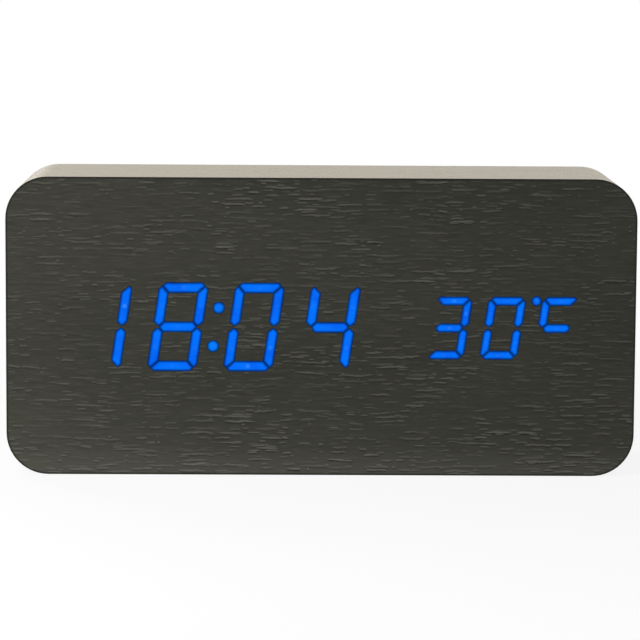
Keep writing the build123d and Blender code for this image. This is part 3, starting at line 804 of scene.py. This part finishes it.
class CLOCK_OT_rear_cover(ClockOperator):
    """Moulded rear cover with its screws"""

    bl_idname = "clock.rear_cover"
    bl_label = "Rear Cover"
    head_radius = 0.0025
    head_rise = 0.0013
    head_rounding = 0.0004
    shank_radius = 0.0013
    point_length = 0.0012
    recess_half_width = 0.00038
    recess_depth = 0.0008
    recess_taper = 0.6
    turn_steps = 40

    def execute(self, context):
        bm = cad_copy("rear_cover")
        smooth(bm)
        plastic = self.cover_plastic()
        piece("moulded_cover", bm, "case", ["rear_cover"], "black_plastic", plastic)
        self.make_screws()
        return {"FINISHED"}

    def make_screws(self):
        """Pan-head screws with a cross recess darkened by painted shade, each turned to its own
        angle.
        """
        low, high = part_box("cover_screws")
        head, rise, shank = self.head_radius, self.head_rise, self.shank_radius
        seat = high.y - rise
        tip = low.y - seat
        profile = [
            (0.0, rise, False),
            (head * 0.55, rise, False),
            (head, rise * 0.45, True),
            (head, 0.0, False),
            (shank, 0.0, False),
            (shank, tip + self.point_length, False),
            (0.0, tip, False),
        ]
        upright = Matrix.Rotation(radians(-90), 4, "X")
        whole = bmesh.new()
        for x in (low.x + head, high.x - head):
            for z in (low.z + head, high.z - head):
                screw = turned(profile, self.head_rounding, self.turn_steps)
                self.cut_cross(screw)
                turn = Matrix.Rotation(radians(17 + x * 9000), 4, "Z")
                stand = Matrix.Translation((x, seat, z)) @ upright @ turn
                bmesh.ops.transform(screw, matrix=stand, verts=screw.verts)
                part = bpy.data.meshes.new("screw")
                screw.to_mesh(part)
                screw.free()
                whole.from_mesh(part)
                bpy.data.meshes.remove(part)
        smooth(whole, radians(28))
        steel = finish("Screw Steel", metal_finish, tint(self.finishes.nickel, 0.7), 0.34)
        # painted shade: a near-black copy of the plating on the faces of the cross recess, where
        # the metal would only be in shade
        recess = finish("Screw Recess Painted Shade", metal_finish, tint(self.finishes.nickel, 0.12), 0.6)
        piece("cover_screw_set", whole, "case", ["cover_screws"], "steel", steel, recess)

    def cut_cross(self, screw):
        """Sink a cross into the flat top of a screw, and give its sunken faces the painted shade
        finish.
        """
        reach, wide = self.sizes.screw_recess / 2, self.recess_half_width

        def top():
            return [f for f in screw.faces if f.calc_center_median().z > self.head_rise - near]

        bmesh.ops.dissolve_faces(screw, faces=top())
        for way in (Vector((1, 0, 0)), Vector((0, 1, 0))):
            for cut in (-reach, -wide, wide, reach):
                geom = list({g for f in top() for g in (f, *f.edges, *f.verts)})
                bmesh.ops.bisect_plane(
                    screw, geom=geom, dist=touching, plane_co=way * cut, plane_no=way
                )
        cross = []
        for face in top():
            close, far = sorted(abs(c) for c in face.calc_center_median().xy)
            if close < wide and far < reach:
                cross.append(face)
        sunk = bmesh.ops.extrude_face_region(screw, geom=cross)["geom"]
        bmesh.ops.delete(screw, geom=cross, context="FACES")
        foot = [g for g in sunk if isinstance(g, bmesh.types.BMVert)]
        bmesh.ops.translate(screw, vec=(0, 0, -self.recess_depth), verts=foot)
        bmesh.ops.scale(screw, vec=(self.recess_taper, self.recess_taper, 1.0), verts=foot)
        # the sunken faces take the second finish, the painted shade of the recess
        for face in {f for vert in foot for f in vert.link_faces}:
            face.material_index = 1


class CLOCK_OT_battery_door(ClockOperator):
    """Hinged door over the cells"""

    bl_idname = "clock.battery_door"
    bl_label = "Battery Door"

    def execute(self, context):
        bm = cad_copy("battery_door")
        smooth(bm)
        plastic = self.cover_plastic()
        piece("cell_door", bm, "battery_door", ["battery_door"], "black_plastic", plastic)
        return {"FINISHED"}


class CLOCK_OT_push_buttons(ClockOperator):
    """Three push buttons"""

    bl_idname = "clock.push_buttons"
    bl_label = "Push Buttons"
    stem_radius = 0.0014
    flange_width = 0.001
    flange_low = 0.0014
    flange_high = 0.0024
    turn_steps = 64

    def execute(self, context):
        shade = tint(self.finishes.cover, 1.6)
        plastic = finish("Button Plastic", moulded_finish, shade, 0.00001, 0.36)
        for name in (f"{name}_button" for name in button_names):
            low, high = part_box(name)
            middle = (low + high) / 2
            flange = (high.x - low.x) / 2
            head, stem = flange - self.flange_width, self.stem_radius
            top, dish = high.y - low.y, self.sizes.button_dish
            profile = [
                (0.0, 0.0, False),
                (stem, 0.0, False),
                (stem, self.flange_low, False),
                (flange, self.flange_low, False),
                (flange, self.flange_high, False),
                (head, self.flange_high, False),
                (head, top, True),
                (head * 0.72, top, False),
                (head * 0.4, top - dish * 0.7, False),
                (0.0, top - dish, False),
            ]
            bm = turned(profile, self.sizes.button_edge, self.turn_steps)
            foot = Matrix.Translation((middle.x, low.y, middle.z))
            stand = foot @ Matrix.Rotation(radians(-90), 4, "X")
            bmesh.ops.transform(bm, matrix=stand, verts=bm.verts)
            smooth(bm)
            piece(name.replace("button", "key"), bm, name, [name], "black_plastic", plastic)
        return {"FINISHED"}


class CLOCK_OT_power_cells(ClockOperator):
    """Four power cells"""

    bl_idname = "clock.power_cells"
    bl_label = "Power Cells"
    nub_radius = 0.0018
    nub_rise = 0.0011
    washer_in = 0.0021
    washer_out = 0.0030
    washer_sink = 0.0003
    washer_step = 0.0002
    washer_edge = 0.0022
    foot_groove = 0.0002
    end_rounding = 0.0004
    turn_steps = 56

    def execute(self, context):
        nickel = self.nickel()
        washer = finish("Cell Washer", sheet_finish, (0.75, 0.74, 0.70), 0.4)
        for i in range(cell_count):
            name = f"power_cell_{i + 1}"
            low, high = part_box(name)
            tail, nose = (low.x, high.x) if i % 2 == 0 else (high.x, low.x)
            reach = high.x - low.x
            radius = (high.z - low.z) / 2
            bm = self.cell(reach, radius)
            side = 1 if nose > tail else -1
            foot = Matrix.Translation((tail, (low.y + high.y) / 2, (low.z + high.z) / 2))
            stand = foot @ Matrix.Rotation(radians(90 * side), 4, "Y")
            bmesh.ops.transform(bm, matrix=stand, verts=bm.verts)
            smooth(bm)
            title = f"Cell Sleeve {1 if side > 0 else 2}"
            sleeve = finish(title, sleeve_finish, tail * mm, nose * mm)
            finishes = (sleeve, nickel, washer)
            piece(f"dry_cell_{i + 1}", bm, "case", [name], "cell_wrap", *finishes)
        return {"FINISHED"}

    def cell(self, reach, radius):
        """Cell standing on its flat end: sleeve folded over both ends, washer and nub."""
        can, lip = reach - self.nub_rise, self.sizes.sleeve_lip
        nub, groove, fold = self.nub_radius, self.foot_groove, radius - lip * 1.6
        sunk = can - self.washer_sink
        profile = [
            (0.0, groove / 2, False),
            (radius * 0.72, 0.0, False),
            (radius * 0.76, groove, False),
            (fold, groove, False),
            (radius - lip, 0.0, False),
            (radius, 0.0, True),
            (radius, can, True),
            (radius - lip * 1.4, can, False),
            (fold, sunk, False),
            (self.washer_out, sunk, False),
            (self.washer_in, can - self.washer_step, False),
            (nub, can, False),
            (nub, reach, True),
            (0.0, reach, False),
        ]
        bm = turned(profile, self.end_rounding, self.turn_steps)
        for face in bm.faces:
            spot = face.calc_center_median()
            out = hypot(spot.x, spot.y)
            if out < radius - lip * 1.5:
                on_washer = out > self.washer_edge and spot.z > can / 2
                face.material_index = 2 if on_washer else 1
        return bm


class CLOCK_OT_cell_contacts(ClockOperator):
    """Contact plates and springs of the cells"""

    bl_idname = "clock.cell_contacts"
    bl_label = "Cell Contacts"
    wide_radius = 0.0033
    narrow_radius = 0.0022
    wire_sides = 8
    turn_steps = 32

    def execute(self, context):
        nickel = self.nickel()
        dress(nickel, "cell_link_lower", "cell_link_middle", "cell_link_upper")
        dress(nickel, "positive_terminal", "negative_terminal")
        for i in range(cell_count):
            name = f"cell_spring_{i + 1}"
            low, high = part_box(name)
            row_low, row_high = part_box(f"power_cell_{i + 1}")
            middle = (row_low + row_high) / 2
            side = 1 if i % 2 == 0 else -1
            foot = low.x if side > 0 else high.x
            bm = self.spring(high.x - low.x)
            seat = Matrix.Translation((foot, middle.y, middle.z))
            stand = seat @ Matrix.Rotation(radians(90 * side), 4, "Y")
            bmesh.ops.transform(bm, matrix=stand, verts=bm.verts)
            smooth(bm, radians(60))
            piece(f"coil_spring_{i + 1}", bm, "case", [name], "steel", nickel)
        return {"FINISHED"}

    def spring(self, reach):
        """Conical spring of round wire, standing on its wide end."""
        wire, wide, steps = self.sizes.spring_wire, self.wide_radius, self.turn_steps
        count = self.sizes.spring_turns * steps
        bm = bmesh.new()
        circle = bmesh.ops.create_circle(
            bm, segments=self.wire_sides, radius=wire / 2, cap_ends=True
        )
        upright = Matrix.Translation((wide, 0, wire / 2)) @ Matrix.Rotation(radians(90), 4, "X")
        bmesh.ops.transform(bm, matrix=upright, verts=circle["verts"])
        climb = Vector((0, 0, (reach - wire) / count))
        draw_in = (self.narrow_radius - wide) / count
        turn = Matrix.Rotation(2 * pi / steps, 3, "Z")
        for i in range(count):
            lead = [f for f in bm.faces if len(f.verts) == self.wire_sides][-1]
            grown = bmesh.ops.extrude_face_region(bm, geom=[lead])["geom"]
            verts = [g for g in grown if isinstance(g, bmesh.types.BMVert)]
            if i > 0:
                bmesh.ops.delete(bm, geom=[lead], context="FACES_ONLY")
            bearing = 2 * pi * i / steps
            inward = Vector((cos(bearing), sin(bearing), 0)) * draw_in
            bmesh.ops.translate(bm, vec=inward + climb, verts=verts)
            bmesh.ops.rotate(bm, matrix=turn, verts=verts)
        bmesh.ops.recalc_face_normals(bm, faces=bm.faces)
        return bm


class CLOCK_OT_stage(ClockOperator):
    """Floor, light and camera"""

    bl_idname = "clock.stage"
    bl_label = "Stage"
    floor_drop = 2e-5  # keeps the floor clear of the foot of the block
    floor_reach = 30.0
    floor_shade = 0.12  # share of the floor's light and shadow that shows near the clock
    shade_reach = (100.0, 400.0)  # millimetres from the clock over which it fades
    lamp_aim = Vector((0.0, 0.0, 0.03))

    def execute(self, context):
        stage = context.scene.clock_stage
        self.lay_floor(stage)
        self.light(context, stage)
        view = bpy.data.cameras.new("photo_camera")
        view.sensor_width = 36.0
        view.lens = stage.lens * mm
        view.clip_end = 100.0
        camera = bpy.data.objects.new("photo_camera", view)
        context.scene.collection.objects.link(camera)
        level = Matrix.Rotation(pi / 2 - stage.pitch, 4, "X")
        aim = Matrix.Rotation(-stage.yaw, 4, "Z") @ level
        spot = Matrix.Translation((stage.camera_x, stage.camera_y, stage.camera_z))
        camera.matrix_world = spot @ aim @ Matrix.Rotation(stage.roll, 4, "Z")
        context.scene.camera = camera
        context.scene.view_settings.view_transform = "Standard"
        return {"FINISHED"}

    def seen(self, paint):
        """Share of a ray that comes straight, or by gloss or glass, from the camera."""
        path = paint.node("ShaderNodeLightPath", output="Is Camera Ray")
        return path.most(path.other("Is Glossy Ray")).most(path.other("Is Transmission Ray"))

    def lay_floor(self, stage):
        """Pale floor, plain white to the camera apart from a faint shadow near the clock."""
        bm = bmesh.new()
        bmesh.ops.create_grid(bm, x_segments=1, y_segments=1, size=self.floor_reach)
        bmesh.ops.translate(bm, vec=(0.0, 0.0, -self.floor_drop), verts=bm.verts)
        mesh = bpy.data.meshes.new("floor")
        bm.to_mesh(mesh)
        bm.free()
        floor = bpy.data.objects.new("floor", mesh)
        bpy.context.scene.collection.objects.link(floor)
        paint = Paint(bpy.data.materials.new("Pale Floor"))
        paint.tree.nodes.remove(paint.tree.nodes["Principled BSDF"])
        lit = paint.node("ShaderNodeBsdfDiffuse", sockets={"Color": stage.floor})
        white = {"Color": (1.0, 1.0, 1.0), "Strength": 1.0}
        plain = paint.node("ShaderNodeEmission", sockets=white)
        x, y, _ = paint.place()
        fade = paint.step(away(x, y), *self.shade_reach)
        share = self.seen(paint) * (1.0 - self.floor_shade + self.floor_shade * fade)
        whole = paint.node("ShaderNodeMixShader", sockets={0: share, 1: lit, 2: plain})
        paint.feed(paint.tree.nodes["Material Output"].inputs["Surface"], whole)
        mesh.materials.append(paint.owner)

    def light(self, context, stage):
        """Soft light from all round, white to the camera, and two soft lamps."""
        world = bpy.data.worlds.new("studio")
        context.scene.world = world
        paint = Paint(world)
        paint.tree.nodes.remove(paint.tree.nodes["Background"])
        white = (1.0, 1.0, 1.0)
        soft = paint.node("ShaderNodeBackground", sockets={"Color": white, "Strength": stage.fill})
        plain = paint.node("ShaderNodeBackground", sockets={"Color": white, "Strength": 1.0})
        share = self.seen(paint)
        whole = paint.node("ShaderNodeMixShader", sockets={0: share, 1: soft, 2: plain})
        paint.feed(paint.tree.nodes["World Output"].inputs["Surface"], whole)
        self.hang_lamp("key_light", stage.key, stage.key_size, Vector(stage.key_place))
        self.hang_lamp("back_light", stage.back, stage.back_size, Vector(stage.back_place))

    def hang_lamp(self, name, energy, size, spot):
        """Soft square lamp that faces the clock and stays out of the camera's sight."""
        lamp = bpy.data.lights.new(name, "AREA")
        lamp.size = size
        lamp.energy = energy
        made = bpy.data.objects.new(name, lamp)
        bpy.context.scene.collection.objects.link(made)
        aim = (self.lamp_aim - spot).to_track_quat("-Z", "Y")
        made.matrix_world = Matrix.Translation(spot) @ aim.to_matrix().to_4x4()
        made.visible_camera = False


class CLOCK_PT_panel(bpy.types.Panel):
    """Lists the pieces of the clock"""

    bl_idname = "CLOCK_PT_panel"
    bl_label = "Alarm Clock"
    bl_space_type = "VIEW_3D"
    bl_region_type = "UI"
    bl_category = "Clock"

    def draw(self, context):
        layout = self.layout
        for operator in operators:
            layout.operator(operator.bl_idname)
        for group in groups:
            settings = getattr(context.scene, group)
            box = layout.box()
            for name in settings.__annotations__:
                box.prop(settings, name)


operators = (
    CLOCK_OT_stage,
    CLOCK_OT_wooden_block,
    CLOCK_OT_front_film,
    CLOCK_OT_lit_digits,
    CLOCK_OT_display_module,
    CLOCK_OT_main_board,
    CLOCK_OT_rear_cover,
    CLOCK_OT_battery_door,
    CLOCK_OT_push_buttons,
    CLOCK_OT_power_cells,
    CLOCK_OT_cell_contacts,
)
groups = {
    "clock_finishes": ClockFinishes,
    "clock_sizes": ClockSizes,
    "clock_stage": ClockStage,
}


def register():
    for made in (*groups.values(), *operators, CLOCK_PT_panel):
        bpy.utils.register_class(made)
    for name, group in groups.items():
        setattr(bpy.types.Scene, name, PointerProperty(type=group))


def unregister():
    for name in groups:
        delattr(bpy.types.Scene, name)
    for made in (CLOCK_PT_panel, *reversed(operators), *groups.values()):
        bpy.utils.unregister_class(made)


def main():
    register()
    bpy.ops.clock.stage()
    bpy.ops.clock.wooden_block()
    bpy.ops.clock.front_film()
    bpy.ops.clock.lit_digits()
    bpy.ops.clock.display_module()
    bpy.ops.clock.main_board()
    bpy.ops.clock.rear_cover()
    bpy.ops.clock.battery_door()
    bpy.ops.clock.push_buttons()
    bpy.ops.clock.power_cells()
    bpy.ops.clock.cell_contacts()


if __name__ == "__main__":
    main()
